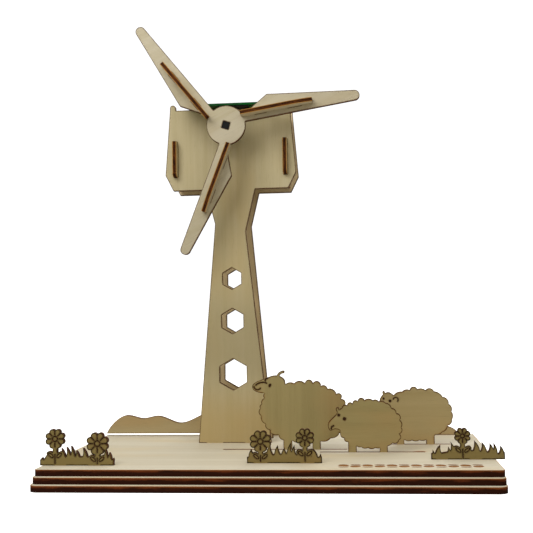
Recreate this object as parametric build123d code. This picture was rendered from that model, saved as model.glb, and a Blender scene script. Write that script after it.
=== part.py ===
"""Plywood windmill model: a stepped base, a tall two-plate tower with a wide head,
a three-blade rotor on a small motor, a solar panel on the roof, and a meadow of
sheep, hills and flowering grass. Every board is laser-cut from flat plywood and
slots into the next. Millimetres, +Z up, the front of the model faces -Y, and the
origin is the centre of the base's underside."""
import math
import os
from build123d import *

os.makedirs("parts", exist_ok=True)

# ---------------------------------------------------------------- driving sizes
ply = 3.0                  # sheet of the upright boards
base_sheet = 4.0           # sheet of the three base layers
slot_play = 0.1            # extra length and width of a slot round its tab
engrave_depth = 0.3        # depth of the laser-engraved lines
engrave_width = 0.75       # width of the laser-engraved lines

base_width = 282.4         # top layer, side to side
base_depth = 166.0         # top layer, front to back
front_step = 5.0           # each lower layer reaches this much further, front and back
side_step = 0.2            # and this much further at each side
base_corners = (6.0, 4.2, 2.5)          # corner radius of each layer, bottom to top
base_top = 3 * base_sheet  # height of the meadow

tower_x = -34.2            # centre line of the tower
front_plate_y = 35.0       # front face of the front plate
rear_plate_y = 61.0        # front face of the rear plate

foot_half = 25.9           # half width of the tower at the meadow
waist_half = 11.9          # half width at the waist
waist_height = 159.5
neck_half = 18.1           # half width where the neck meets the head
head_low = 184.8           # underside of the head
head_low_half = 42.6
head_wide = 196.5          # height of the head's widest line
head_wide_half = 48.5
head_top = 244.9
head_top_half = 44.7
ear_width = 4.3            # small upright ears at the head's top corners
ear_rise = 4.0
slim_foot, slim_waist, slim_height = 27.2, 10.6, 153.7  # right edge of the front plate

window_sizes = (19.8, 16.0, 13.7)       # hexagons across the flats, low to high
window_heights = (49.5, 88.2, 119.3)

side_panel_offset = 40.7   # side panels of the head, from the centre line
side_tab_low, side_tab_high = 195.1, 221.1
side_tab_reach = 5.5       # how far the tabs stand out of the front plate
side_panel_low, side_panel_high = 188.0, 241.0

hub_height = 228.6
rotor_y = 15.0             # front face of the rotor plate
hub_radius = 14.1
rotor_radius = 97.5
blade_turn = 8.9           # angle of the first blade's straight edge
blade_root_x = 4.7         # where the root edge would meet the straight edge
blade_corner = (32.6, 16.5)
blade_tip_radius = 3.6
rib_start, rib_end = 12.3, 64.0
rib_middles = (5.2, 6.6, 7.4)           # each rib's centre line, from its blade's straight edge
rib_height = 8.4
rib_end_height = 5.8
square_hole = 5.4
square_turn = -17.0

shaft_radius = 1.0
shaft_running_gap = 0.05
motor_radius = 12.0
stay_offset = 16.5         # braces beside the motor, from the centre line
terminal_offset = 8.2
terminal_size = (0.5, 2.8, 2.4)
panel_size = (60.0, 52.0, 1.6)
cell_count = 4
cell_sheet = 0.4
pad_size = (22.0, 0.7)     # insulating pad under the panel, width and thickness


# ------------------------------------------------------------------ small tools
def save(shape, node):
    """Write one sub-part."""
    shape.label = node
    export_step(shape, f"parts/{node}.step")


def board(outline, front_y, sheet=ply):
    """Stand a flat outline upright: its y becomes height above the meadow."""
    stood = Plane.XZ.offset(-front_y) * (Pos(0, base_top) * outline)
    return extrude(stood, amount=-sheet)


def engrave(marks, front_y):
    """Solid that cuts flat marks into the front face of an upright board."""
    return board(marks, front_y - engrave_depth, 2 * engrave_depth)


def polygon(*points):
    return make_face(Polyline(*points, close=True))


def bar(left, right, low, high):
    """Rectangle between two x and two y values."""
    return Pos((left + right) / 2, (low + high) / 2) * Rectangle(right - left, high - low)


def stroke(start, end, width=engrave_width):
    """Straight engraved line with round ends."""
    length = math.dist(start, end)
    angle = math.degrees(math.atan2(end[1] - start[1], end[0] - start[0]))
    middle = ((start[0] + end[0]) / 2, (start[1] + end[1]) / 2)
    return Pos(*middle) * Rot(0, 0, angle) * SlotOverall(length + width, width)


def arc_stroke(start, middle, end, width=engrave_width):
    """Curved engraved line through three points."""
    return SlotArc(ThreePointArc(start, middle, end), width)


def ring(centre, radius, width=engrave_width):
    mark = Circle(radius + width / 2) - Circle(radius - width / 2)
    return Pos(*centre) * mark


# ------------------------------------------------------------------------- base
def floor_slot(left, right, front_y):
    """Through slot in the top layer for the tab of an upright board."""
    play = slot_play / 2
    mark = bar(left - play, right + play, front_y - play, front_y + ply + play)
    return Pos(0, 0, base_top - base_sheet - 1) * extrude(mark, amount=base_sheet + 2)


def base_layer(step):
    """Plain layer; step 0 is the bottom, 2 the top."""
    lower = 2 - step
    width = base_width + 2 * side_step * lower
    depth = base_depth + 2 * front_step * lower
    sheet = RectangleRounded(width, depth, base_corners[step])
    return Pos(0, 0, step * base_sheet) * extrude(sheet, amount=base_sheet)


tower_tabs = ((tower_x - 20, tower_x - 8), (tower_x + 8, tower_x + 20))
grass_left = dict(y=-67.0, start=-143.0, end=-95.7, tabs=((-134, -126), (-112, -104)))
grass_middle = dict(y=-57.6, start=-13.1, end=33.6, tabs=((-9, 0), (20, 29)))
grass_right = dict(y=-42.3, start=101.6, end=146.9, tabs=((104, 112), (125, 133)))
sheep_slots = dict(big=(-37, 48, 1.0), small=(30.2, 99.5, -11.8), back=(66, 119.5, 25.5))
hill_y = 77.0
hill_tabs = dict(left=((-50, -38), (-16, -4)), right=((76, 86), (100, 110)))

ornament_y = -67.5         # centre line of the burnt ornament on the meadow
ornament_start, ornament_end = 43.5, 131.1
ornament_leaves = 12


def ornament():
    """Burnt row of leaves that lean to and fro, each over a short curved stalk."""
    pitch = (ornament_end - ornament_start) / ornament_leaves
    shape = None
    for turn in range(ornament_leaves):
        middle = ornament_start + (turn + 0.5) * pitch
        side = 1 if turn % 2 == 0 else -1
        leaf = Pos(middle, side * 1.6) * Rot(0, 0, side * 20) * Ellipse(3.0, 3.6)
        stalk = arc_stroke((middle - 2.4, -side * 3.9), (middle, -side * 4.9),
                           (middle + 2.4, -side * 3.9), 1.5)
        shape = leaf + stalk if shape is None else shape + leaf + stalk
    return Pos(0, ornament_y) * shape


def base_top_layer():
    layer = base_layer(2)
    for plate_y in (front_plate_y, rear_plate_y):
        for left, right in tower_tabs:
            layer -= floor_slot(left, right, plate_y)
    for strip in (grass_left, grass_middle, grass_right):
        for left, right in strip["tabs"]:
            layer -= floor_slot(left, right, strip["y"])
    for left, right, slot_y in sheep_slots.values():
        layer -= floor_slot(left, right, slot_y)
    for tabs in hill_tabs.values():
        for left, right in tabs:
            layer -= floor_slot(left, right, hill_y)
    return layer - Pos(0, 0, base_top - engrave_depth) * extrude(ornament(), amount=1)


# ------------------------------------------------------------------------ tower
def plate_outline(right_foot, right_waist, right_waist_height):
    """Tapered leg, waist and wide head, about the centre line."""
    return polygon(
        (-foot_half, 0),
        (right_foot, 0),
        (right_waist, right_waist_height),
        (neck_half, head_low),
        (head_low_half, head_low),
        (head_wide_half, head_wide),
        (head_top_half, head_top),
        (-head_top_half, head_top),
        (-head_wide_half, head_wide),
        (-head_low_half, head_low),
        (-neck_half, head_low),
        (-waist_half, waist_height),
    )


def ear(side):
    """Upright ear with a round top and a small slope at its inner foot."""
    outer = head_top_half
    inner = outer - ear_width
    block = bar(inner, outer, head_top - 1, head_top + ear_rise - ear_width / 2)
    top = Pos(outer - ear_width / 2, head_top + ear_rise - ear_width / 2) * Circle(ear_width / 2)
    shape = block + top
    return shape if side > 0 else mirror(shape, Plane.YZ)


def tower_plate(front_y, outline, shaft_hole):
    shape = outline + ear(1) + ear(-1)
    for size, height in zip(window_sizes, window_heights):
        window = RegularPolygon(size / 2, 6, major_radius=False, rotation=30)
        shape -= Pos(0, height) * window
    for side in (-1, 1):
        middle = side * side_panel_offset
        half = (ply + slot_play) / 2
        play = slot_play / 2
        shape -= bar(middle - half, middle + half, side_tab_low - play, side_tab_high + play)
    shape -= Pos(0, hub_height) * Circle(shaft_hole)
    plate = board(Pos(tower_x, 0) * shape, front_y)
    for left, right in tower_tabs:
        plate += board(bar(left, right, -base_sheet, 1), front_y)
    return plate


def side_panel(side):
    """Upright board between the plates; its tabs pass through both of them."""
    front_inner = front_plate_y + ply
    body = bar(front_inner, rear_plate_y, side_panel_low, side_panel_high)
    nose = front_plate_y - side_tab_reach
    tip_cut = 1.6
    front_tab = polygon(
        (front_inner + 1, side_tab_low),
        (nose + tip_cut, side_tab_low),
        (nose, side_tab_low + tip_cut),
        (nose, side_tab_high),
        (front_inner + 1, side_tab_high),
    )
    rear_tab = bar(rear_plate_y - 1, rear_plate_y + ply + 2, side_tab_low, side_tab_high)
    profile = Pos(0, base_top) * (body + front_tab + rear_tab)
    left = tower_x + side * side_panel_offset - ply / 2
    return extrude(Plane.YZ.offset(left) * profile, amount=ply)


# ------------------------------------------------------- motor, shaft and panel
def along_shaft(radius, front, back):
    """Round bar on the rotor's axis between two y values."""
    centre = Plane((tower_x, front, base_top + hub_height), x_dir=(1, 0, 0), z_dir=(0, 1, 0))
    return extrude(centre * Circle(radius), amount=back - front)


motor_front = front_plate_y + ply
nose_front = front_plate_y - 2.0
nose_radius = 4.0
can_back = motor_front + 15.5
cap_back = can_back + 4.0
cap_slot = 1.2
shaft_back = motor_front + 7.0
collar_back = rotor_y + ply + 8.0
collar_radius = 4.6


def motor_can():
    can = along_shaft(motor_radius, motor_front, can_back)
    return can - along_shaft(1.6, motor_front - 1, shaft_back + 1)


def motor_nose():
    nose = along_shaft(nose_radius, nose_front, motor_front)
    return nose - along_shaft(shaft_radius + shaft_running_gap, nose_front - 1, motor_front + 1)


def motor_cap():
    cap = along_shaft(motor_radius - 0.4, can_back, cap_back)
    slot = along_shaft(motor_radius + 1, cap_back - cap_slot, cap_back + 1)
    keep = Pos(tower_x, cap_back, base_top + hub_height) * Box(9, 8, 30)
    return cap - (slot - keep)


def motor_terminal(side):
    """Brass tag that stands out of the cap's back."""
    place = Pos(tower_x + side * terminal_offset, cap_back - cap_slot, base_top + hub_height)
    return place * Box(*terminal_size, align=(Align.CENTER, Align.MIN, Align.CENTER))


def motor_bulkhead():
    """Board glued to the back of the front plate that holds the motor's can."""
    shape = Rectangle(38, 30) - Circle(motor_radius + 0.1)
    return board(Pos(tower_x, hub_height) * shape, motor_front)


def motor_stay(side):
    """Short brace from the bulkhead to the rear plate, beside the motor."""
    brace = Box(ply, rear_plate_y - motor_front - ply, 20,
                align=(Align.CENTER, Align.MIN, Align.CENTER))
    return Pos(tower_x + side * stay_offset, motor_front + ply, base_top + hub_height - 2) * brace


def motor_shaft():
    return along_shaft(shaft_radius, rotor_y + ply + 1, shaft_back)


def rotor_boss():
    """Black moulded collar whose square nose fills the hub's hole."""
    collar = along_shaft(collar_radius, rotor_y + ply, collar_back)
    nose = Rot(0, 0, square_turn) * Rectangle(square_hole - 0.1, square_hole - 0.1)
    centre = Plane((tower_x, rotor_y + ply, base_top + hub_height), x_dir=(1, 0, 0),
                   z_dir=(0, -1, 0))
    square = extrude(centre * nose, amount=ply - 0.3)
    return collar + square - along_shaft(shaft_radius, rotor_y + ply + 1, collar_back + 1)


panel_z = base_top + head_top
panel_y = (front_plate_y + rear_plate_y + ply) / 2


def solar_board():
    width, depth, sheet = panel_size
    board_shape = extrude(RectangleRounded(width, depth, 1.5), amount=sheet)
    return Pos(tower_x, panel_y, panel_z) * board_shape


def solar_cell(column):
    """One of the dark cells on top of the panel."""
    width, depth, sheet = panel_size
    margin = 3.0
    gap = 0.6
    cell = (width - 2 * margin - (cell_count - 1) * gap) / cell_count
    x = tower_x - width / 2 + margin + cell / 2 + column * (cell + gap)
    piece = Box(cell, depth - 2 * margin, cell_sheet,
                align=(Align.CENTER, Align.CENTER, Align.MIN))
    return Pos(x, panel_y, panel_z + sheet) * piece


def solder_pad():
    """Black insulating pad under the panel's front overhang."""
    width, depth, _ = panel_size
    front = panel_y - depth / 2
    pad_width, pad_sheet = pad_size
    edge = 0.8
    pad = Box(pad_width, front_plate_y - front - 1.5 * edge, pad_sheet,
              align=(Align.CENTER, Align.MIN, Align.MAX))
    return Pos(tower_x + 4, front + edge, panel_z) * pad


# ------------------------------------------------------------------------ rotor
def rotor_plane(face_y):
    """Plane across the axis at face_y that looks at the viewer."""
    return Plane((tower_x, face_y, base_top + hub_height), x_dir=(1, 0, 0), z_dir=(0, -1, 0))


def blade_outline():
    """One blade, its straight edge along x from the hub's centre."""
    tip_x = rotor_radius - blade_tip_radius
    corner_x, corner_y = blade_corner
    fall = math.atan2(corner_y - 2 * blade_tip_radius, tip_x - corner_x)
    touch = (tip_x + blade_tip_radius * math.sin(fall),
             blade_tip_radius * (1 + math.cos(fall)))
    body = polygon((blade_root_x, 0), (tip_x, 0), touch, blade_corner)
    return body + Pos(tip_x, blade_tip_radius) * Circle(blade_tip_radius)


rib_tabs = ((rib_start + 9.5, rib_start + 18), (rib_end - 18, rib_end - 8))


def rotor_plate():
    shape = Circle(hub_radius) - Rot(0, 0, square_turn) * Rectangle(square_hole, square_hole)
    for turn in range(3):
        blade = blade_outline()
        for left, right in rib_tabs:
            half = (ply + slot_play) / 2
            blade -= bar(left, right, rib_middles[turn] - half, rib_middles[turn] + half)
        shape += Rot(0, 0, blade_turn + 120 * turn) * (blade - Circle(hub_radius / 2))
    return extrude(rotor_plane(rotor_y) * shape, amount=-ply)


def rotor_rib(turn):
    """Stiffening fin on one blade, lower towards its outer end."""
    bend = rib_end - 16
    edge = Polyline((bend, rib_height), (rib_start, rib_height), (rib_start, 0),
                    (rib_end, 0), (rib_end, rib_end_height))
    curve = ThreePointArc((rib_end, rib_end_height), (rib_end - 7, rib_height - 0.9),
                          (bend, rib_height))
    profile = make_face(edge + curve)
    for left, right in rib_tabs:
        profile += bar(left + slot_play / 2, right - slot_play / 2, -ply, 0.5)
    lying = Plane((0, rib_middles[turn] + ply / 2, 0), x_dir=(1, 0, 0), z_dir=(0, -1, 0))
    fin = extrude(lying * profile, amount=ply)
    turned = Rot(0, 0, blade_turn + 120 * turn) * fin
    return rotor_plane(rotor_y).location * turned


# ----------------------------------------------------------------------- meadow
def leaf_place(x, height, radius, side):
    """Where a leaf lies beside the stem, below the bloom."""
    return Pos(x + side * 2.7, (height - radius) * 0.62) * Rot(0, 0, side * 40)


def flower(x, height, radius):
    """Eight round petals and a stem with two leaves, down to the grass."""
    petal = radius * 0.31
    shape = Circle(radius * 0.78)
    for turn in range(8):
        shape += Rot(0, 0, 22.5 + 45 * turn) * Pos(radius - petal, 0) * Circle(petal)
    bloom = Pos(x, height) * shape
    stem = bar(x - 1.5, x + 1.5, 1.0, height)
    leaves = [leaf_place(x, height, radius, side) * Ellipse(3.2, 2.0) for side in (-1, 1)]
    return bloom + stem + leaves


def flower_marks(x, height, radius):
    """Engraved centre ring, petal lines, stem line and leaves, clear of each other."""
    marks = [ring((x, height), radius * 0.25)]
    near, far = radius * 0.25 + 1.0, radius * 0.76
    for turn in range(8):
        angle = math.radians(45 * turn)
        inner = (x + near * math.cos(angle), height + near * math.sin(angle))
        outer = (x + far * math.cos(angle), height + far * math.sin(angle))
        marks.append(stroke(inner, outer))
    marks.append(stroke((x, 1.2), (x, (height - radius) * 0.62 + 0.6)))
    for side in (-1, 1):
        leaf = Ellipse(2.2, 1.15) - Ellipse(1.55, 0.5)
        marks.append(leaf_place(x, height, radius, side) * leaf)
    return marks


def grass_blade(left, right, tip_x, tip_height, bow):
    """Pointed blade whose two sides bend the same way; bow > 0 bends to the right."""
    foot = 2.0
    tip = (tip_x, tip_height)
    left_middle = ((left + tip_x) / 2 + bow, (foot + tip_height) / 2 - abs(bow) * 0.3)
    right_middle = ((right + tip_x) / 2 + bow, (foot + tip_height) / 2 + abs(bow) * 0.3)
    sides = ThreePointArc((left, foot), left_middle, tip) \
        + ThreePointArc(tip, right_middle, (right, foot))
    return make_face(sides + Line((right, foot), (left, foot)))


def grass_strip(strip, blades, flowers):
    """Strip of turf, a little higher in its middle, with its blades, flowers and tabs."""
    start, end = strip["start"], strip["end"]
    turf = ThreePointArc((start + 2, 3), ((start + end) / 2, 5.6), (end - 2, 3))
    shape = bar(start, end, 0, 3.7) + make_face(turf + Line((end - 2, 3), (start + 2, 3)))
    for blade in blades:
        shape += grass_blade(*blade)
    for bloom in flowers:
        shape += flower(*bloom)
    for left, right in strip["tabs"]:
        shape += bar(left, right, -base_sheet, 0.5)
    solid = board(shape, strip["y"])
    for bloom in flowers:
        for mark in flower_marks(*bloom):
            solid -= engrave(mark, strip["y"])
    return solid


left_blades = (
    (-143.0, -139.6, -141.6, 5.0, -0.5),
    (-140.8, -134.0, -136.4, 8.3, -1.3),
    (-130.5, -126.6, -129.2, 10.6, 1.0),
    (-127.6, -122.6, -125.9, 11.3, 0.9),
    (-125.6, -120.8, -123.0, 12.0, 1.2),
    (-122.2, -117.4, -119.7, 9.2, 0.9),
    (-117.8, -112.6, -115.3, 10.8, 1.2),
    (-105.0, -99.8, -101.0, 10.2, 0.8),
    (-101.6, -97.2, -98.5, 8.0, 0.7),
    (-98.0, -95.7, -95.9, 4.6, 0.2),
)
left_flowers = ((-133.3, 16.5, 6.4), (-106.1, 13.5, 7.2))

middle_blades = (
    (-11.8, -6.4, -10.4, 8.6, -0.9),
    (-1.0, 5.6, 1.4, 11.3, -1.1),
    (4.0, 10.2, 6.1, 10.9, -1.0),
    (8.6, 15.0, 10.2, 9.2, -1.0),
    (11.6, 17.0, 14.4, 12.6, -1.1),
    (14.6, 19.6, 16.5, 11.0, -0.9),
    (25.4, 31.2, 28.0, 8.7, 0.9),
    (30.4, 33.6, 32.7, 5.6, 0.2),
)
middle_flowers = ((-4.6, 13.4, 6.9), (23.2, 15.5, 6.0))

right_blades = (
    (101.6, 104.2, 102.6, 5.8, 0.3),
    (103.8, 109.6, 107.4, 8.9, -1.1),
    (110.0, 113.6, 112.3, 7.8, 0.6),
    (112.0, 117.2, 113.8, 10.7, 0.9),
    (124.6, 131.6, 128.4, 11.5, 1.3),
    (129.8, 135.6, 133.0, 10.7, 1.2),
    (134.2, 139.8, 137.8, 9.9, 1.2),
    (138.0, 142.2, 140.1, 10.1, 1.0),
    (141.4, 146.0, 144.2, 8.4, 1.0),
    (145.2, 146.9, 146.7, 4.7, 0.1),
)
right_flowers = ((121.1, 14.5, 5.2),)


def fleece(locks):
    """Woolly outline: an arc from each point to the next, clockwise, that rises outwards.

    A lock is the x and height where it starts, and its rise."""
    arcs = []
    for (x, height, rise), (next_x, next_height, _) in zip(locks, locks[1:] + locks[:1]):
        chord = math.dist((x, height), (next_x, next_height))
        out_x, out_height = (height - next_height) / chord, (next_x - x) / chord
        crest = ((x + next_x) / 2 + out_x * rise, (height + next_height) / 2 + out_height * rise)
        arcs.append(ThreePointArc((x, height), crest, (next_x, next_height)))
    return make_face(arcs)


def sheep(slot, shape, legs, marks):
    """Body, legs and the bar that fills the floor slot."""
    left, right, slot_y = slot
    for leg_left, leg_right, leg_top in legs:
        shape += bar(leg_left, leg_right, -1, leg_top)
    play = slot_play / 2
    shape += bar(left + play, right - play, -base_sheet, 0)
    solid = board(shape, slot_y)
    for mark in marks:
        solid -= engrave(mark, slot_y)
    return solid


def big_sheep():
    back = ((5.5, 43.5, 1.3), (12.5, 45, 1.6), (20, 45, 2.4), (25.5, 45, 2.4), (31, 43, 1.4),
            (35.5, 41, 1.5), (41.5, 37.5, 2.2), (44.5, 34, 2.1), (46.5, 29, 1.5))
    rump = ((47, 22, 1.4), (45.5, 16, 1.4), (43.5, 11.5, 1.2), (37, 7.5, 1.0), (30.5, 5.5, 0.9))
    belly = ((24.5, 5, 0.9), (17.5, 5, 1.0), (11, 6, 0.8), (4.5, 6.5, 0.9), (1.5, 10, 0.4))
    chest = ((-3, 10.5, 0.9), (-4, 13.5, 1.6), (-7.5, 17.5, 1.3), (-10.5, 23, 1.3),
             (-11, 28, 0.8), (-10, 31, 1.0), (-8, 35, 0.8), (-7.8, 38.5, 0.5))
    head = make_face(Spline((-16.3, 43), (-15.6, 41), (-13, 39.3), (-7.5, 38.4), (5, 41),
                            (6.2, 47), (3.2, 49.8), (-3, 50.1), (-7.2, 48.6), (-11.5, 47),
                            (-15, 45.2), periodic=True))
    horn = SlotArc(ThreePointArc((1.4, 49), (2.9, 51.9), (5.2, 52.8)), 1.8)
    mouth = arc_stroke((-15.1, 43), (-14.3, 41.5), (-10.6, 41.9), 0.8)
    cheek = arc_stroke((-13.8, 44), (-10.6, 45.7), (-6.2, 45.3), 0.8)
    eye = Pos(-4, 43.7) * Rot(0, 0, -30) * Ellipse(0.8, 1.2)
    nape = arc_stroke((-7.2, 46.8), (-6.8, 48), (-5.4, 48.8), 0.8)
    legs = ((4.7, 10.5, 12), (24.6, 30.1, 12))
    shape = fleece(back + rump + belly + chest) + head + horn
    return sheep(sheep_slots["big"], shape, legs, (mouth, cheek, eye, nape))


def small_sheep():
    back = ((46, 30.5, 0.8), (48.8, 30.8, 1.5), (52.5, 32, 1.4), (56, 33.7, 1.9),
            (60.5, 34.3, 1.0), (66, 34.2, 0.8), (70, 33.4, 0.9), (74.5, 32.4, 0.9))
    rump = ((78.3, 29, 1.0), (81.5, 25.5, 1.6), (83.5, 21, 1.1), (84.5, 16.3, 1.3),
            (83, 12, 1.3), (82.8, 8, 1.2), (78.5, 6, 0.8))
    belly = ((73.5, 4.2, 0.8), (67, 2.8, 0.8), (62.3, 2.9, 0.7), (57.6, 3.4, 0.8))
    chest = ((54, 5, 1.2), (49.7, 7.1, 1.4), (46.5, 9.5, 0.6), (44.2, 11, 0.5), (44, 16, 0.5),
             (44, 24, 0.5))
    head = make_face(Spline((36.2, 15.8), (37.6, 14.3), (40, 15.2), (44.5, 14.6), (50, 18),
                            (48, 28), (45, 29), (41.7, 25.4), (38, 21.8), periodic=True))
    curl = SlotArc(ThreePointArc((42.2, 28), (44.2, 26.8), (46.2, 28.6)), 1.6)
    ear_tip = Pos(42.4, 28.6) * Circle(1.1)
    mouth = arc_stroke((38, 15.4), (38.4, 16.7), (39.6, 17.6), 0.9)
    eye = Pos(47, 22.1) * Circle(1.1)
    brow = Pos(43.2, 24.6) * Circle(0.9)
    legs = ((49.1, 54.7, 9), (69.9, 75.2, 9))
    shape = fleece(back + rump + belly + chest) + head + curl + ear_tip
    return sheep(sheep_slots["small"], shape, legs, (mouth, eye, brow))


def back_sheep():
    back = ((81, 34.3, 0.9), (87, 36.7, 0.9), (92.3, 37.8, 2.0), (97.6, 38.4, 0.8),
            (103.4, 37.6, 1.8), (109.2, 36.7, 1.0))
    rump = ((115, 32.8, 1.5), (119, 28, 1.2), (120.8, 22.8, 0.9), (121, 17.2, 1.1),
            (118, 13, 1.0), (114, 8.3, 0.7))
    belly = ((109.4, 6.6, 0.6), (104, 3.6, 0.7), (98, 2.8, 0.7), (93, 2.8, 0.7))
    chest = ((88, 3, 0.9), (82, 5.5, 1.0), (78, 11, 1.2), (76.6, 18, 1.2), (77.4, 25, 1.0))
    head = make_face(Spline((71, 29), (71.5, 32.2), (73.6, 34.8), (77.6, 36.4), (80.6, 34.6),
                            (84.6, 30), (80, 25), (73, 26.2), periodic=True))
    ear_stalk = SlotArc(ThreePointArc((75, 33.6), (74.2, 35), (74, 36.4)), 1.8)
    eye = Pos(78.3, 30.3) * Circle(0.9)
    horn = arc_stroke((80.6, 31.6), (83.2, 32.6), (83.6, 30), 0.7)
    brow = Pos(73.8, 32) * Circle(0.7)
    nostril = Pos(76.1, 28) * Circle(0.6)
    legs = ((82.2, 87.6, 9), (102.9, 108.7, 9))
    shape = fleece(back + rump + belly + chest) + head + ear_stalk
    return sheep(sheep_slots["back"], shape, legs, (eye, horn, brow, nostril))


def left_hill():
    """Long rolling hill whose left end clears the meadow; its tabs hide behind the tower."""
    raised = 1.7
    ridge = Spline((-140.6, raised), (-133.7, 11.0), (-124.5, 15.8), (-111.5, 13.4),
                   (-100.0, 15.2), (-82.5, 9.9), (-66.0, 15.6), (-46.0, 19.0),
                   (-20.0, 12.0), (8.0, 9.0), (26.0, 0))
    under = Polyline((26.0, 0), (-58.0, 0), (-58.0, raised), (-140.6, raised))
    shape = make_face(ridge + under)
    for left, right in hill_tabs["left"]:
        shape += bar(left, right, -base_sheet, 1)
    return board(shape, hill_y)


def right_hill():
    ridge = Spline((60.0, 0), (74.0, 7.4), (92.0, 10.2), (110.0, 7.6), (125.0, 5.4), (131.0, 0))
    shape = make_face(ridge + Line((131.0, 0), (60.0, 0)))
    for left, right in hill_tabs["right"]:
        shape += bar(left, right, -base_sheet, 1)
    return board(shape, hill_y)


# ------------------------------------------------------------------------ write
save(base_layer(0), "base_layer_bottom")
save(base_layer(1), "base_layer_middle")
save(base_top_layer(), "base_layer_top")

front_outline = plate_outline(slim_foot, slim_waist, slim_height)
rear_outline = plate_outline(foot_half, waist_half, waist_height)
save(tower_plate(front_plate_y, front_outline, nose_radius + 0.1), "tower_plate_front")
save(tower_plate(rear_plate_y, rear_outline, 2.5), "tower_plate_rear")

for name, side in (("left", -1), ("right", 1)):
    save(side_panel(side), f"head_side_panel_{name}")
    save(motor_stay(side), f"motor_stay_{name}")
    save(motor_terminal(side), f"motor_terminal_{name}")

save(motor_bulkhead(), "motor_bulkhead")
save(motor_can(), "motor_can")
save(motor_nose(), "motor_nose")
save(motor_cap(), "motor_end_cap")
save(motor_shaft(), "motor_shaft")
save(rotor_boss(), "rotor_boss")
save(rotor_plate(), "rotor_plate")
for turn in range(3):
    save(rotor_rib(turn), f"rotor_rib_{turn + 1}")

save(solar_board(), "solar_panel_board")
save(solder_pad(), "solar_panel_pad")
for column in range(cell_count):
    save(solar_cell(column), f"solar_cell_{column + 1}")

save(left_hill(), "hill_left")
save(right_hill(), "hill_right")
save(big_sheep(), "sheep_big")
save(small_sheep(), "sheep_small")
save(back_sheep(), "sheep_back")
save(grass_strip(grass_left, left_blades, left_flowers), "grass_strip_left")
save(grass_strip(grass_middle, middle_blades, middle_flowers), "grass_strip_middle")
save(grass_strip(grass_right, right_blades, right_flowers), "grass_strip_right")
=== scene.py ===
# %% [markdown]
# # A plywood windmill on its meadow
# This model is a kit of flat boards, cut by laser from thin plywood and slotted
# together: a stepped base, a tower of two tall plates, a wide head with a small solar
# panel on its roof, a rotor of three blades, and a meadow with sheep, hills and
# flowering grass. The boards' shapes come from the CAD frame and stay as they are, so
# almost all the work here is in the finishes: what bare veneer looks like, what the
# laser does to a cut edge, and how soft light falls on flat boards.

# %% Load the frame
import math
import bpy
from mathutils import Matrix, Vector


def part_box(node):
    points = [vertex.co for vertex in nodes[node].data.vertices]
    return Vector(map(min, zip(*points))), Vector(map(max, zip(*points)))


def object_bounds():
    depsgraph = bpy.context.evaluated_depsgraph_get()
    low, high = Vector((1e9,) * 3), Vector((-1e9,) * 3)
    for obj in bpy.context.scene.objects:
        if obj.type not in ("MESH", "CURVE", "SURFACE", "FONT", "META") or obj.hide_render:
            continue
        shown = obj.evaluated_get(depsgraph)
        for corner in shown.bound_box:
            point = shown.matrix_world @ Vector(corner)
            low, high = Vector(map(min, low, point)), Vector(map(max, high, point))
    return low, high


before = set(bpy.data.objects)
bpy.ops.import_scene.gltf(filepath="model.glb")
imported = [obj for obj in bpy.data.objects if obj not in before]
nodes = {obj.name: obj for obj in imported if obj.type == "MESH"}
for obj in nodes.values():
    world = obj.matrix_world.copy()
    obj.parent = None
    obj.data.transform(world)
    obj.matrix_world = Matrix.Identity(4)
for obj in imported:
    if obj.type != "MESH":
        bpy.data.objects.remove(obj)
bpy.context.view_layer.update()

# %% [markdown]
# ## Colours
# Colours are easiest to choose as the eye sees them, from 0 to 255, but a renderer adds
# and multiplies light, so it wants linear values. One small function turns the first
# into the second, and every colour of the model goes through it. The tones of the
# surround and the floor are written as linear values already.


# %% Colour helper
def colour(red, green, blue):
    """A colour as the eye sees it, 0 to 255, as the renderer's linear values."""
    def linear(level):
        level = level / 255
        return level / 12.92 if level <= 0.04045 else ((level + 0.055) / 1.055) ** 2.4
    return (linear(red), linear(green), linear(blue), 1.0)


print("mid grey in linear light:", round(colour(128, 128, 128)[0], 3))

# %% [markdown]
# ## Writing shaders as sums
# A procedural finish is a graph of small maths nodes, which is hard to read when it is
# wired by hand. Here a `Value` wraps one socket and answers to +, -, * and /, so that a
# pattern can be written as a plain sum. A `Graph` owns a node tree and makes every other
# kind of node through a single method, and a `Finish` is the graph of one material.


# %% Values and finishes
class Value:
    """A socket, most often a number that changes over a surface, with Python's operators."""

    def __init__(self, finish, socket):
        self.finish = finish
        self.socket = socket

    def maths(self, operation, first, second=0.0):
        """One Math node on one or two values."""
        return self.finish.node("ShaderNodeMath", {"operation": operation}, {0: first, 1: second})

    def __add__(self, other):
        return self.maths("ADD", self, other)

    def __radd__(self, other):
        return self.maths("ADD", other, self)

    def __sub__(self, other):
        return self.maths("SUBTRACT", self, other)

    def __rsub__(self, other):
        return self.maths("SUBTRACT", other, self)

    def __mul__(self, other):
        return self.maths("MULTIPLY", self, other)

    def __rmul__(self, other):
        return self.maths("MULTIPLY", other, self)

    def __truediv__(self, other):
        return self.maths("DIVIDE", self, other)

    def __abs__(self):
        return self.maths("ABSOLUTE", self)

    def over(self, limit):
        """1 where the value is above the limit."""
        return self.maths("GREATER_THAN", self, limit)

    def under(self, limit):
        """1 where the value is below the limit."""
        return self.maths("LESS_THAN", self, limit)

    def larger(self, other):
        """The larger of two values."""
        return self.maths("MAXIMUM", self, other)

    def fraction(self):
        """What is left after the whole number, which repeats from 0 to 1."""
        return self.maths("FRACT", self)

    def ramp(self, low, high, out_low=0.0, out_high=1.0):
        """Smooth step from out_low to out_high while the value goes from low to high."""
        sockets = {"Value": self, 1: low, 2: high, 3: out_low, 4: out_high}
        return self.finish.node("ShaderNodeMapRange", {"interpolation_type": "SMOOTHSTEP"},
                                sockets)


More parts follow.
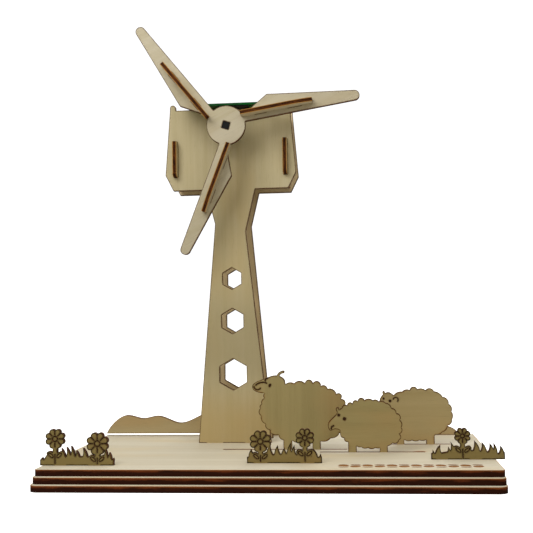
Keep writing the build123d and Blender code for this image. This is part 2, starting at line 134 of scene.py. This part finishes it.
class Graph:
    """A node tree that grows one node at a time."""

    def __init__(self, tree):
        self.tree = tree

    def node(self, kind, settings=None, sockets=None, output=0):
        """Make a node: its settings first, then its sockets' values or links."""
        made = self.tree.nodes.new(kind)
        for key, setting in (settings or {}).items():
            setattr(made, key, setting)
        for key, value in (sockets or {}).items():
            if isinstance(value, Value):
                self.tree.links.new(value.socket, made.inputs[key])
            else:
                made.inputs[key].default_value = value
        return Value(self, made.outputs[output])

    def show(self, shader):
        """Send a shader to the tree's output."""
        target = next(node for node in self.tree.nodes if "Output" in node.bl_idname)
        self.tree.links.new(shader.socket, target.inputs["Surface"])


class Finish(Graph):
    """One material: a Principled shader and the nodes that feed it."""

    def __init__(self, name, **constants):
        self.material = bpy.data.materials.new(name)
        self.material.use_nodes = True
        super().__init__(self.material.node_tree)
        self.shader = self.tree.nodes["Principled BSDF"]
        for socket, value in constants.items():
            self.shader.inputs[socket.replace("_", " ")].default_value = value

    def feed(self, **sockets):
        """Link values that change over the surface to the shader."""
        for key, value in sockets.items():
            self.tree.links.new(value.socket, self.shader.inputs[key.replace("_", " ")])

    def mix(self, share, first, second, blend="MIX"):
        """Blend two colours."""
        settings = {"data_type": "RGBA", "blend_type": blend}
        return self.node("ShaderNodeMix", settings, {0: share, 6: first, 7: second}, 2)

    def place(self):
        """Where a point is on the piece, in metres."""
        return self.node("ShaderNodeTexCoord", output="Object")

    def facing(self):
        """Which way the surface faces, in the piece's own axes."""
        return self.node("ShaderNodeTexCoord", output="Normal")

    def along(self, vector, axis):
        """How far a vector reaches along an axis."""
        settings = {"operation": "DOT_PRODUCT"}
        return self.node("ShaderNodeVectorMath", settings, {0: vector, 1: axis}, "Value")

    def stack(self, x, y, z):
        """Three values as one vector."""
        return self.node("ShaderNodeCombineXYZ", None, {0: x, 1: y, 2: z})

    def noise(self, vector, scale=1.0, detail=2.0, roughness=0.5, distortion=0.0):
        """A cloudy pattern around 0.5, with scale waves for each unit of the vector."""
        sockets = {"Vector": vector, "Scale": scale, "Detail": detail,
                   "Roughness": roughness, "Distortion": distortion}
        return self.node("ShaderNodeTexNoise", None, sockets, "Fac")

    def bump(self, height, strength, distance):
        """Surface directions that make a height look like relief, distance in metres."""
        sockets = {"Height": height, "Strength": strength, "Distance": distance}
        return self.node("ShaderNodeBump", None, sockets, "Normal")


print("shader helpers ready")

# %% [markdown]
# ## The tones of plywood
# All the boards are bare plywood, but they don't look alike: the animals and the grass
# are browner than the tower, and the base is nearly white. One tone for all would look
# flat, and a tone for every board would be hard to keep together, so each group gets
# three: a light and a dark one for the streaks and a warm one for slow drifts. The
# burns have tones of their own, from a near black crust to a light brown.

# %% Plywood tones
X, Y, Z = Vector((1, 0, 0)), Vector((0, 1, 0)), Vector((0, 0, 1))
FACE_TONES = {
    "base": (colour(221, 212, 190), colour(206, 195, 168), colour(214, 196, 158)),
    "tower": (colour(206, 193, 156), colour(190, 176, 135), colour(198, 176, 126)),
    "rear": (colour(224, 204, 168), colour(208, 188, 148), colour(216, 190, 144)),
    "rotor": (colour(203, 193, 168), colour(188, 176, 144), colour(196, 177, 138)),
    "animal": (colour(176, 160, 111), colour(160, 145, 97), colour(184, 152, 100)),
    "pale_animal": (colour(190, 171, 124), colour(176, 157, 110), colour(196, 164, 112)),
    "hill": (colour(192, 174, 132), colour(178, 158, 114), colour(188, 158, 110)),
    "grass": (colour(152, 134, 84), colour(140, 122, 72), colour(150, 122, 72)),
}
CHAR_DARK = colour(50, 19, 6)
CHAR_WARM = colour(122, 58, 22)
CHAR_KISS = colour(158, 102, 56)
SCORCH_BROWN = colour(112, 76, 38)
SCORCH_DARK = colour(80, 48, 16)
# Laser scorch on the grass, darker than the rest so that it also paints contact shade at the strips'
# foot.
SCORCH_AND_SHADE_BLACK = colour(30, 20, 9)
LATH_DARK = colour(40, 17, 3)
LATH_WARM = colour(104, 54, 14)
LATH_RIM = colour(188, 136, 68)
PORE_BROWN = colour(112, 88, 52)
# Painted shade for the middle of the tower, and the warmer tone of its foot.
PAINTED_SHADE_OLIVE = colour(168, 154, 116)
FOOT_WARM = colour(200, 172, 112)
SMOKE_BROWN = colour(150, 98, 44)
SPILL_BROWN = colour(168, 106, 46)
print("plywood tones:", ", ".join(FACE_TONES))

# %% [markdown]
# ## Bare plywood with laser-cut edges
# Plywood is thin sheets of veneer glued with their grain crossed. Its face shows long
# soft streaks, fine pores and a slow drift of tone; its cut edge would show the sheets
# as stripes, but a laser burns the edge to a dark brown crust. The edges of the fins
# and tabs are more orange, with their outer sheets still pale. An image could hold all
# this, but each board would need its own and the streaks would not follow the board. So
# the finish measures three directions on the board itself: along the grain, across it,
# and through the sheet. Noise stretched along the grain makes streaks and pores, and
# noise that changes along the edge and through the sheet makes the crust's smears.

# %% Veneer and cut edges
# How many waves each pattern has in a metre: along the grain, then across it.
STREAKS, BANDS, PORES, DRIFT = (8, 260), (3, 48), (110, 1700), (12, 30)
# The same for the smears and the fine ridges of a cut edge, in both directions.
SMEARS, RIDGES = 55, 900
LATH_SMEARS, LATH_RIDGES = 130, 1100


def veneer_tone(finish, length, width, tones, seed):
    """The colour, streaks and relief of one sheet of veneer."""
    light, dark, warm = tones
    streaks = finish.noise(finish.stack(length * STREAKS[0] + seed, width * STREAKS[1], seed), 1, 4, 0.6)
    bands = finish.noise(finish.stack(length * BANDS[0] + seed, width * BANDS[1] + seed, seed),
                         1, 2, 0.5, 0.3)
    pores = finish.noise(finish.stack(length * PORES[0], width * PORES[1] + seed, seed), 1, 2)
    drift = finish.noise(finish.stack(length * DRIFT[0] + seed, width * DRIFT[1], seed + 4), 1, 2)
    shade = streaks.ramp(0.28, 0.72) * 0.45 + bands.ramp(0.3, 0.7) * 0.55
    veneer = finish.mix(shade, light, dark)
    veneer = finish.mix(drift.ramp(0.48, 0.72, 0.0, 0.6), veneer, warm)
    veneer = finish.mix(pores.ramp(0.58, 0.8, 0.0, 0.2), veneer, PORE_BROWN)
    return veneer, shade, streaks * 0.4 + pores * 0.4


def burnt_edge(finish, length, width, depth, seed):
    """A dark crust, lighter beside the front face and smeared along the edge by smoke."""
    smears = finish.noise(finish.stack(length * SMEARS + seed, width * SMEARS, depth * 2.2), 1, 3)
    ridges = finish.noise(finish.stack(length * RIDGES, width * RIDGES, depth * 2 + seed), 1, 2)
    burn = (depth + smears * 1.3 - 0.65 + ridges * 0.2).ramp(0.05, 0.6)
    crust = finish.mix(burn, CHAR_WARM, CHAR_DARK)
    kiss = (depth + smears * 0.12).ramp(0.1, 0.24, 0.85, 0.0)
    return finish.mix(kiss, crust, CHAR_KISS), ridges


def lath_edge(finish, length, width, depth, seed):
    """An orange edge with pale outer sheets, as on the thin fins and tabs."""
    smears = finish.noise(finish.stack(length * LATH_SMEARS + seed, width * LATH_SMEARS, depth * 2), 1, 3)
    ridges = finish.noise(finish.stack(length * LATH_RIDGES, width * LATH_RIDGES, depth * 5 + seed), 1, 2)
    burn = (smears * 0.7 + ridges * 0.6).ramp(0.42, 0.8)
    crust = finish.mix(burn, LATH_WARM, LATH_DARK)
    outer = (abs(depth - 0.5) * 2 + ridges * 0.12).ramp(0.66, 0.9)
    return finish.mix(outer * 0.85, crust, LATH_RIM), ridges


print("waves in a metre:", STREAKS, BANDS, PORES, DRIFT)

# %% [markdown]
# ## Stains and painted shade on a face
# Smoke from the laser stains the face beside a cut: a thin scorched line along every
# rim, a brown haze near the edges of the sheep, and one flare at the end of a slot in
# the meadow. The tower's front plate also gets painted shade, a greyer band across its
# middle, and turns warmer towards its foot. A painted mask could hold these marks, but
# a Bevel node already knows where a board's rims are: it bends the surface's direction
# near an edge only, so how far it bends is a measure of how near the cut is. The other
# marks need only a place and a reach.

# %% Stains and painted shade
HAZE_REACH = 0.0032
# Middle height and reach of the painted shade band on the tower, in metres.
SHADE_BAND_MIDDLE, SHADE_BAND_REACH = 0.088, 0.045
SPILL_REACH_X, SPILL_REACH_Y = 0.0045, 0.0035


def near_cut(finish, reach):
    """0 on an open face, and more the nearer a cut edge is."""
    rounded = finish.node("ShaderNodeBevel", {"samples": 8}, {"Radius": reach})
    straight = finish.node("ShaderNodeNewGeometry", output="True Normal")
    return 1 - finish.along(rounded, straight)


def age(finish, veneer, height):
    """Painted shade, a greyer band around the middle of the tower, and a warmer foot."""
    # Painted shade: the tower's middle is mixed towards a darker olive.
    painted_shade = (abs(height - SHADE_BAND_MIDDLE) / SHADE_BAND_REACH).ramp(0.2, 1.0, 0.5, 0.0)
    veneer = finish.mix(painted_shade, veneer, PAINTED_SHADE_OLIVE)
    return finish.mix(height.ramp(0.025, 0.06, 0.55, 0.0), veneer, FOOT_WARM)


def smoke_over(finish, veneer, spot, strength):
    """A patchy brown haze near the cut edges."""
    close = near_cut(finish, HAZE_REACH).ramp(0.002, 0.12)
    cloud = finish.noise(spot, 95, 3).ramp(0.45, 0.68)
    return finish.mix(close * cloud * strength, veneer, SMOKE_BROWN)


def spill_over(finish, veneer, spot, patchy, centre):
    """One oval flare of smoke around a point on the top face."""
    off_x = abs(finish.along(spot, X) - centre.x) / SPILL_REACH_X
    off_y = abs(finish.along(spot, Y) - centre.y) / SPILL_REACH_Y
    haze = (off_x * off_x + off_y * off_y).ramp(0.1, 1.4, 0.85, 0.0)
    return finish.mix(haze * patchy.ramp(0.2, 0.6, 0.5, 1.0), veneer, SPILL_BROWN)


print("haze reaches", HAZE_REACH * 1000, "mm from a cut")

# %% [markdown]
# ## The whole board
# A board is veneer on its faces and crust on its edges, so the finish has to know which
# is which. The surface's direction tells: it lines up with the sheet's own direction on
# a face and not on an edge. Engraving lies a hair below the front face, so a narrow
# band of depth picks it out, and the burnt marks need no mask of their own.

# %% Plywood finish
MARK_FROM, MARK_TO = 0.03, 0.25


def plywood(name, tones, face, grain, start, sheet, seed, rim=0.5, scorch=SCORCH_BROWN,
            mark=CHAR_DARK, edge=burnt_edge, rim_width=0.0012, spill=None, aged=False, smoke=0.0):
    """Veneer faces, burnt edges, a scorched rim, and burnt marks below the front face.

    face points out of the front of the board and grain along its veneer. start is the
    front face's distance along face, and sheet the board's thickness. seed shifts the
    patterns, so that no two boards share them. rim, scorch and rim_width are the
    strength, colour and reach of the scorched line. mark is the colour of engraving,
    edge the recipe for the cuts, spill the centre of a flare, and smoke the strength of
    the haze. The flag for the tower adds painted shade, a greyer band across the board's
    middle, and makes its foot warmer."""
    finish = Finish(name, Roughness=0.62, Specular_IOR_Level=0.12)
    spot, facing = finish.place(), finish.facing()
    length = finish.along(spot, grain)
    width = finish.along(spot, face.cross(grain))
    depth = (start - finish.along(spot, face)) / sheet
    on_face = abs(finish.along(facing, face)).ramp(0.55, 0.8)
    veneer, shade, grain_relief = veneer_tone(finish, length, width, tones, seed)

    patchy = finish.noise(spot, 240, 2)
    scorched = near_cut(finish, rim_width).ramp(0.002, 0.05) * patchy.ramp(0.25, 0.6, 0.75, 1.0)
    # Painted shade across the tower's middle, and a warmer foot.
    if aged:
        veneer = age(finish, veneer, length)
    if smoke:
        veneer = smoke_over(finish, veneer, spot, smoke)
    veneer = finish.mix(scorched * rim, veneer, scorch)
    if spill:
        veneer = spill_over(finish, veneer, spot, patchy, spill)
    marked = depth.over(MARK_FROM) * depth.under(MARK_TO)
    veneer = finish.mix(marked * 0.94, veneer, mark)

    crust, ridges = edge(finish, length, width, depth, seed)
    finish.feed(Base_Color=finish.mix(on_face, crust, veneer))
    finish.feed(Roughness=0.78 - on_face * 0.18 + shade * 0.06)
    relief = grain_relief * on_face + ridges * (1 - on_face)
    finish.feed(Normal=finish.bump(relief, 0.22, 0.0002))
    return finish.material


def dress(node, material):
    """Give a CAD node its finish."""
    slots = nodes[node].material_slots
    if not slots:
        nodes[node].data.materials.append(material)
    for slot in slots:
        slot.material = material


SHEET = 0.003


def upright(node, tones, grain, **burn):
    """Finish for a board that faces the front, seeded by where it stands."""
    low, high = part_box(node)
    seed = round((low.x * 7 + low.z * 3 + high.y * 11) % 5, 3) * 9
    wood = plywood(node + "_wood", FACE_TONES[tones], -Y, grain, -low.y, SHEET, seed, **burn)
    dress(node, wood)


print("upright boards are", SHEET * 1000, "mm thick")

# %% [markdown]
# ## The base
# Three layers of thicker plywood make the base, each a little deeper than the one above,
# so that two thin steps of clean veneer shine between three dark burnt edges. Their
# grain runs left to right. The top layer also carries a burnt ornament, engraved just
# under the surface, in a lighter brown than the other marks. A brown flare of smoke
# marks the end of the small sheep's slot. Its place is taken from that sheep's own box,
# so it follows if the sheep is moved in the CAD.

# %% Base layers
BASE_SHEET = 0.004
ORNAMENT_BURN = colour(146, 92, 24)
BASE_RIM = colour(176, 118, 54)
FLARE_INSET = 0.003
BASE_SEEDS = {"bottom": 3.0, "middle": 17.0, "top": 29.0}
slot_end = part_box("sheep_small")[1]
flare = Vector((slot_end.x - FLARE_INSET, slot_end.y, 0))
for level, seed in BASE_SEEDS.items():
    node = "base_layer_" + level
    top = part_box(node)[1].z
    wood = plywood(node + "_wood", FACE_TONES["base"], Z, X, top, BASE_SHEET, seed, rim=0.8,
                   scorch=BASE_RIM, mark=ORNAMENT_BURN, spill=flare if level == "top" else None)
    dress(node, wood)
    print(node, "top at", round(top * 1000, 1), "mm")

# %% [markdown]
# ## Tower, head and meadow boards
# Everything that stands on the base is a board that faces the front, so they all share
# one recipe with their own tones: pale for the tower, browner for the animals, darker
# again for the grass. Pieces can be turned to fit the sheet they are cut from, so the
# grain needn't run alike: it runs up the tower and the big sheep, and along the hills,
# the grass and the other two sheep. The grass gets the widest and blackest rim: laser
# scorch, made darker and wider so that it also paints the contact shade along the
# strips' foot.

# %% Upright boards
BOARD_RIM = 0.0014
# The grass rim is scorch, widened so that it also paints contact shade where the strips stand on the
# base.
GRASS_SCORCH_AND_SHADE_RIM = 0.0017
# The front plate gets painted shade across its middle and a warmer foot.
upright("tower_plate_front", "tower", Z, rim=0.95, scorch=SCORCH_DARK, rim_width=BOARD_RIM, aged=True)
upright("tower_plate_rear", "rear", Z, rim=0.95, scorch=SCORCH_DARK, rim_width=BOARD_RIM)
upright("motor_bulkhead", "tower", Z, rim=0.85)
for node in ("hill_left", "hill_right"):
    upright(node, "hill", X, rim=0.9)
SHEEP_WOOD = {"big": ("animal", Z), "small": ("animal", X), "back": ("pale_animal", X)}
for sheep, (tones, grain) in SHEEP_WOOD.items():
    upright("sheep_" + sheep, tones, grain, rim=1.0, scorch=SCORCH_DARK, rim_width=BOARD_RIM,
            smoke=0.75)
for node in ("grass_strip_left", "grass_strip_middle", "grass_strip_right"):
    upright(node, "grass", X, rim=1.0, scorch=SCORCH_AND_SHADE_BLACK, rim_width=GRASS_SCORCH_AND_SHADE_RIM)
print("upright boards dressed")

# %% [markdown]
# ## Side panels and stays
# Four boards stand edge-on to the front: the head's two side panels, whose tabs come
# through the front plate as orange bars, and two stays beside the motor. They are the
# same sheet turned a quarter, so they take the same recipe with X as the way through
# the sheet, and the orange edge with pale outer sheets.

# %% Side panels and motor stays
for part in ("head_side_panel_", "motor_stay_"):
    for side in ("left", "right"):
        node = part + side
        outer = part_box(node)[1].x
        wood = plywood(node + "_wood", FACE_TONES["tower"], X, Z, outer, SHEET, outer * 50,
                       edge=lath_edge)
        dress(node, wood)
print("side panels dressed")

# %% [markdown]
# ## The rotor
# The rotor is one flat star with a fin standing on each blade. The star faces the front
# like the tower, but each fin's faces look across its own blade, so its finish needs
# directions of its own. Angles could be typed in, but they would have to follow every
# change of the rotor. The fin's largest flat face already knows: it points through the
# sheet, and the grain runs at a right angle to it.

# %% Rotor plate and fins
ROTOR_GRAIN_ANGLE = math.radians(28)
ROTOR_RIM = 0.0013
rotor_grain = (X * math.cos(ROTOR_GRAIN_ANGLE) + Z * math.sin(ROTOR_GRAIN_ANGLE)).normalized()
upright("rotor_plate", "rotor", rotor_grain, rim=0.95, scorch=SCORCH_DARK, rim_width=ROTOR_RIM)
for turn in range(3):
    node = f"rotor_rib_{turn + 1}"
    mesh = nodes[node].data
    widest = max(mesh.polygons, key=lambda polygon: polygon.area)
    out = widest.normal.copy()
    run = out.cross(Y).normalized()
    reach = out.dot(mesh.vertices[widest.vertices[0]].co)
    wood = plywood(node + "_wood", FACE_TONES["rotor"], out, run, reach, SHEET, 7.0 + turn * 5,
                   edge=lath_edge)
    dress(node, wood)
    print(node, "runs at", round(math.degrees(math.atan2(run.z, run.x)), 1), "degrees")

# %% [markdown]
# ## Metal and plastic
# The motor is a small steel can with a brass nose and a black cap, and a black moulded
# boss carries the rotor. Drawn metal has fine marks around it, which a noise squeezed
# along the axis gives. They change how sharply it mirrors, so they feed the roughness
# and the relief, while slow smudges also dull its colour. Plastic needs only a faint
# grain.

# %% Motor finishes
DRAWN_MARKS, DRAWN_BANDS = 4000, 30
SMUDGE_GREY = colour(150, 148, 144)


def drawn_metal(name, base, roughness, axis):
    """Drawn metal with fine marks across the axis and a few smudges."""
    finish = Finish(name, Metallic=1.0)
    spot = finish.place()
    run = finish.along(spot, axis)
    marks = finish.noise(finish.stack(run * DRAWN_MARKS, run * DRAWN_BANDS, 1.0), 1, 3)
    smudge = finish.noise(spot, 120, 2)
    finish.feed(Base_Color=finish.mix(smudge.ramp(0.3, 0.7), base, SMUDGE_GREY))
    finish.feed(Roughness=roughness + marks * 0.12 + smudge * 0.08)
    finish.feed(Normal=finish.bump(marks, 0.08, 0.0001))
    return finish.material


def black_plastic(name):
    """Moulded plastic with a faint grain."""
    finish = Finish(name, Specular_IOR_Level=0.15)
    spot = finish.place()
    grain = finish.noise(spot, 1800, 2)
    cloud = finish.noise(spot, 90, 1)
    finish.feed(Base_Color=finish.mix(cloud, colour(8, 8, 8), colour(16, 16, 16)))
    finish.feed(Roughness=0.42 + grain * 0.15)
    finish.feed(Normal=finish.bump(grain, 0.12, 0.0001))
    return finish.material


dress("motor_can", drawn_metal("motor_steel", colour(186, 186, 184), 0.24, Y))
dress("motor_shaft", drawn_metal("shaft_steel", colour(205, 205, 205), 0.16, Y))
dress("motor_nose", drawn_metal("nose_brass", colour(196, 160, 92), 0.25, Y))
for side in ("left", "right"):
    brass = drawn_metal("terminal_brass_" + side, colour(204, 178, 112), 0.3, Z)
    dress("motor_terminal_" + side, brass)
dress("motor_end_cap", black_plastic("cap_plastic"))
dress("rotor_boss", black_plastic("boss_plastic"))
dress("solar_panel_pad", black_plastic("pad_foam"))
print("motor dressed")

# %% [markdown]
# ## The solar panel
# The panel is a green circuit board with four dark cells on it under clear resin. Thin
# silver fingers and wider bars cross each cell to collect its current. They could be
# modelled as lines, but the fraction of a distance divided by a pitch repeats from 0 to
# 1, and the part of it near a half is already a sharp, even stripe.

# %% Solar panel finishes
TRACKS = (160, 60)
FINGER_PITCH, BAR_PITCH = 0.0024, 0.0066
FINGER_SHARE, BAR_SHARE = 0.03, 0.05


def circuit_board(name):
    """Green solder mask over faint copper tracks."""
    finish = Finish(name, Specular_IOR_Level=0.1)
    spot = finish.place()
    across = finish.along(spot, X)
    deep = finish.along(spot, Y)
    tracks = finish.noise(finish.stack(across * TRACKS[0], deep * TRACKS[1], 2.0), 1, 1)
    tracks = tracks.ramp(0.5, 0.54)
    cloud = finish.noise(spot, 60, 2)
    mask = finish.mix(tracks * 0.5, colour(0, 76, 22), colour(4, 98, 34))
    finish.feed(Base_Color=finish.mix(cloud.ramp(0.4, 0.7) * 0.4, mask, colour(0, 52, 18)))
    finish.feed(Roughness=0.3 + cloud * 0.1)
    finish.feed(Normal=finish.bump(tracks, 0.2, 0.0001))
    return finish.material


def solar_cell(name):
    """Blue-black silicon with silver fingers and bus bars, under clear resin."""
    finish = Finish(name, Coat_Weight=0.8, Coat_Roughness=0.06)
    spot = finish.place()
    fingers = abs((finish.along(spot, Y) / FINGER_PITCH).fraction() - 0.5).under(FINGER_SHARE)
    bars = abs((finish.along(spot, X) / BAR_PITCH).fraction() - 0.5).under(BAR_SHARE)
    crystal = finish.node("ShaderNodeTexVoronoi", None, {"Vector": spot, "Scale": 260.0}, "Color")
    lit = finish.along(crystal, (0.33, 0.33, 0.33))
    silicon = finish.mix(lit, colour(8, 12, 34), colour(22, 30, 66))
    metal = fingers.larger(bars)
    finish.feed(Base_Color=finish.mix(metal * 0.7, silicon, colour(150, 154, 160)))
    finish.feed(Roughness=0.22 + lit * 0.08)
    return finish.material


dress("solar_panel_board", circuit_board("green_circuit_board"))
cell_finish = solar_cell("dark_solar_cell")
for column in range(4):
    dress(f"solar_cell_{column + 1}", cell_finish)
print("panel dressed")

# %% [markdown]
# ## A surround that looks white
# A small pale model looks best in front of plain white. A white surround would also
# light it from every side, though, and wash out the shadows that make flat boards look
# like boards. A Light Path node tells the two apart: what the camera sees straight on is
# white, and what lights the model is a dim, slightly warm glow.

# %% Surround
SEEN_WHITE = 1.1
FILL_TONE, FILL_STRENGTH = (1.0, 0.93, 0.76, 1.0), 0.12
world = bpy.data.worlds.new("studio")
bpy.context.scene.world = world
world.use_nodes = True
studio = Graph(world.node_tree)
dim = studio.node("ShaderNodeBackground", None, {"Color": FILL_TONE, "Strength": FILL_STRENGTH})
white = studio.node("ShaderNodeBackground", None, {"Color": (1, 1, 1, 1), "Strength": SEEN_WHITE})
seen = studio.node("ShaderNodeLightPath", output="Is Camera Ray")
studio.show(studio.node("ShaderNodeMixShader", None, {0: seen, 1: dim, 2: white}))
print("surround nodes:", len(studio.tree.nodes))

# %% [markdown]
# ## The floor
# The model stands on a broad sheet of matt paper. It has to disappear into the
# surround, so the same trick serves again: the camera sees the paper with a glow added,
# which lifts it to white, while the model gets only the light that the plain warm paper
# bounces back up at it.

# %% Floor
REACH = 6.0
PAPER_TONE = (0.6, 0.57, 0.5, 1.0)
floor_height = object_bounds()[0][2]
floor_corners = [(-REACH, -REACH), (REACH, -REACH), (REACH, REACH), (-REACH, REACH)]
floor_mesh = bpy.data.meshes.new("floor_mesh")
floor_mesh.from_pydata([(x, y, floor_height) for x, y in floor_corners], [], [(0, 1, 2, 3)])
floor = bpy.data.objects.new("floor", floor_mesh)
bpy.context.scene.collection.objects.link(floor)

paper = Finish("white_paper", Base_Color=PAPER_TONE, Roughness=0.95)
matt = Value(paper, paper.shader.outputs[0])
glow = paper.node("ShaderNodeEmission", None, {"Strength": SEEN_WHITE})
lifted = paper.node("ShaderNodeAddShader", None, {0: matt, 1: glow})
seen = paper.node("ShaderNodeLightPath", output="Is Camera Ray")
paper.show(paper.node("ShaderNodeMixShader", None, {0: seen, 1: matt, 2: lifted}))
floor_mesh.materials.append(paper.material)
print("floor at", floor_height)

# %% [markdown]
# ## Four soft boxes
# The upright boards are bright at the rotor and fade towards the meadow, and the fins
# throw soft shadows down their blades. A far lamp lights everything alike, so the key
# lamp stands close above the left, near enough for its light to fade down the tower. A
# weaker one from the right opens its shadows. A wide one overhead brightens the meadow
# and the steps of the base, and one behind lights the back of the meadow.

# %% Lamps
def soft_box(name, place, target, size, power):
    """Square area lamp that looks at a target."""
    lamp = bpy.data.lights.new(name, "AREA")
    lamp.size = size
    lamp.energy = power
    holder = bpy.data.objects.new(name, lamp)
    holder.location = place
    holder.rotation_euler = (Vector(target) - Vector(place)).to_track_quat("-Z", "Y").to_euler()
    bpy.context.scene.collection.objects.link(holder)


soft_box("key", (-0.23, -0.33, 0.48), (0.0, 0.0, 0.15), size=0.3, power=1.5)
soft_box("front", (0.20, -0.42, 0.46), (0.02, 0.0, 0.19), size=0.4, power=0.62)
soft_box("overhead", (0.05, 0.15, 0.80), (0.02, 0.0, 0.0), size=0.9, power=4.0)
soft_box("back", (0.15, 0.80, 0.45), (0.0, 0.05, 0.12), size=0.7, power=2.6)
print("lamps placed")

# %% [markdown]
# ## The camera
# The model is seen from low in front, from a little to the right of its middle and
# looking a little left. From so near, perspective opens up the base's steps and the gap
# between the tower's plates, which a longer lens from farther away would flatten.
# Three angles say where it looks: round, up, and a slight tilt of the frame.

# %% Camera
LENS_MM, SENSOR_MM = 62.760225, 36.0
CLIP_START = 0.01
yaw, pitch, roll = -0.10418, 0.05319, -0.01609
camera_place = Vector((0.06182, -0.63824, 0.10349))
forward = Vector((math.sin(yaw) * math.cos(pitch), math.cos(yaw) * math.cos(pitch), math.sin(pitch)))
level = Vector((math.cos(yaw), -math.sin(yaw), 0))
right = math.cos(roll) * level + math.sin(roll) * level.cross(forward)
up = right.cross(forward)

camera = bpy.data.cameras.new("camera")
camera.sensor_width = SENSOR_MM
camera.lens = LENS_MM
camera.clip_start = CLIP_START
holder = bpy.data.objects.new("camera", camera)
turned = Matrix((right, up, -forward)).transposed().to_4x4()
holder.matrix_world = Matrix.Translation(camera_place) @ turned
bpy.context.scene.collection.objects.link(holder)
bpy.context.scene.camera = holder
bpy.context.scene.view_settings.view_transform = "Standard"
print("lens", round(camera.lens, 1), "mm")
